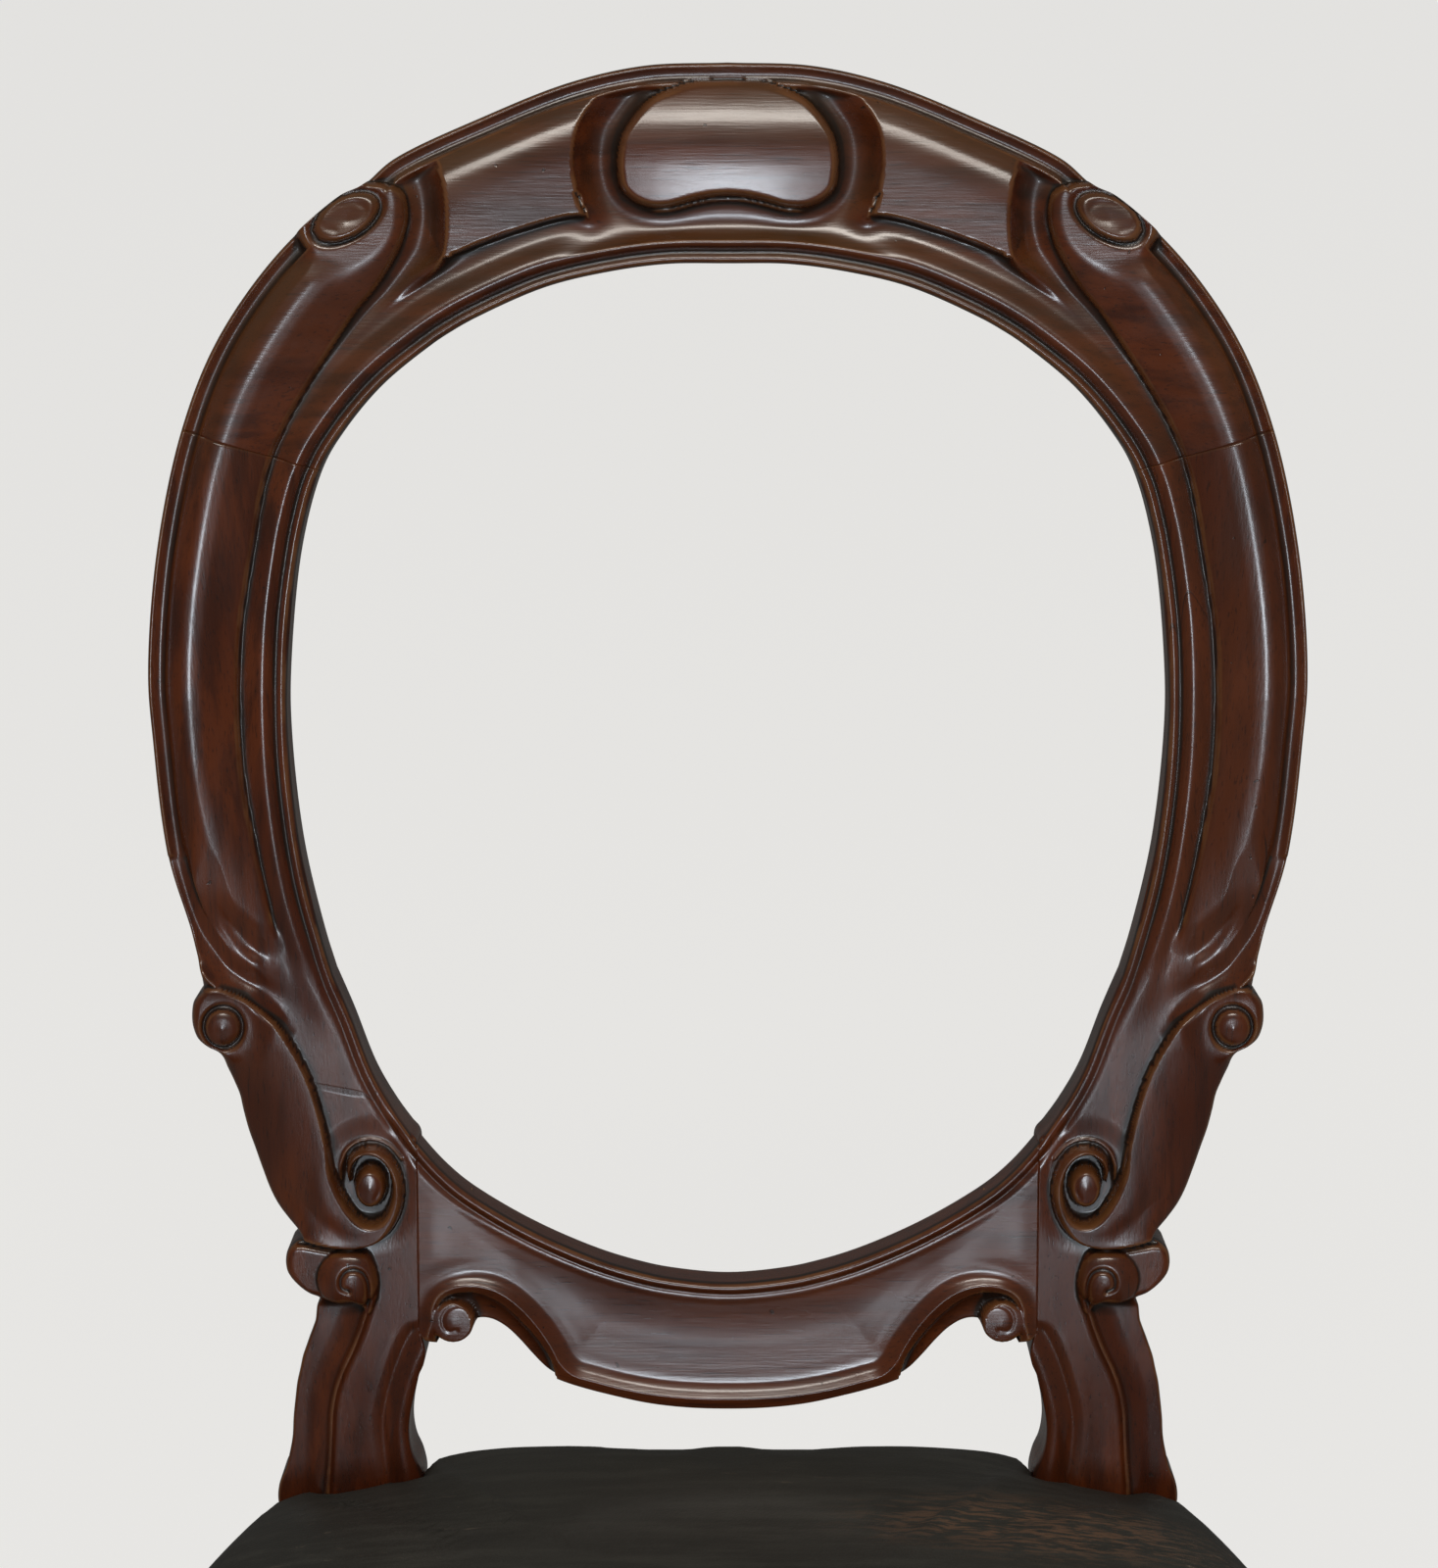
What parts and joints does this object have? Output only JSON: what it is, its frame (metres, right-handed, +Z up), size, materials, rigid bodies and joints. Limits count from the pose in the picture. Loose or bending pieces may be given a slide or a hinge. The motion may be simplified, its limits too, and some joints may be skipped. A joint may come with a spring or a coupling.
{
  "type": "balloon back dining chair",
  "caption": "Side chair with an open oval balloon back, moulded and carved in polished mahogany, on cabriole front legs, with a stuffed leather seat.",
  "frame": {"origin": "middle of the whole chair's bounding box, down on the floor", "axes": "+Z up, -Y the way the sitter faces, +X to the right as the chair is seen from the front"},
  "size_m": [0.4918, 0.5314, 0.97],
  "materials": {
    "polished_mahogany": "French polish, worn on the arrises, dark in the hollows",
    "beech": "plain, dry and dusty",
    "screw_steel": "dull, slightly rusted",
    "jute_webbing": "twilled strip with a stripe near each edge",
    "hessian": "open plain weave",
    "hair_stuffing": "matted curled hair",
    "seat_leather": "worn dark hide with pale scuffs",
    "leather_banding": "narrow strip, nailed"
  },
  "bodies": {
    "root": {"crest_rail": "polished_mahogany", "lower_back_rail": "polished_mahogany", "back_stile_right": "polished_mahogany", "back_stile_left": "polished_mahogany", "crest_dowel_right_1": "beech", "rail_dowel_right_1": "beech", "crest_dowel_right_2": "beech", "rail_dowel_right_2": "beech", "crest_dowel_left_1": "beech", "rail_dowel_left_1": "beech", "crest_dowel_left_2": "beech", "rail_dowel_left_2": "beech", "front_seat_rail": "polished_mahogany", "side_seat_rail_right": "polished_mahogany", "side_seat_rail_left": "polished_mahogany", "back_seat_rail": "polished_mahogany", "front_leg_right": "polished_mahogany", "front_leg_left": "polished_mahogany", "corner_block_front_right": "beech", "corner_block_rear_right": "beech", "corner_screw_right_1": "screw_steel", "corner_screw_right_2": "screw_steel", "corner_screw_right_3": "screw_steel", "corner_screw_right_4": "screw_steel", "corner_block_front_left": "beech", "corner_block_rear_left": "beech", "corner_screw_left_1": "screw_steel", "corner_screw_left_2": "screw_steel", "corner_screw_left_3": "screw_steel", "corner_screw_left_4": "screw_steel", "webbing_lengthways_1": "jute_webbing", "webbing_lengthways_2": "jute_webbing", "webbing_lengthways_3": "jute_webbing", "webbing_lengthways_4": "jute_webbing", "webbing_crossways_1": "jute_webbing", "webbing_crossways_2": "jute_webbing", "webbing_crossways_3": "jute_webbing", "hessian": "hessian", "stuffing_pad": "hair_stuffing", "leather_cover": "seat_leather", "banding_round": "leather_banding", "banding_rear": "leather_banding"}
  },
  "joints": []
}
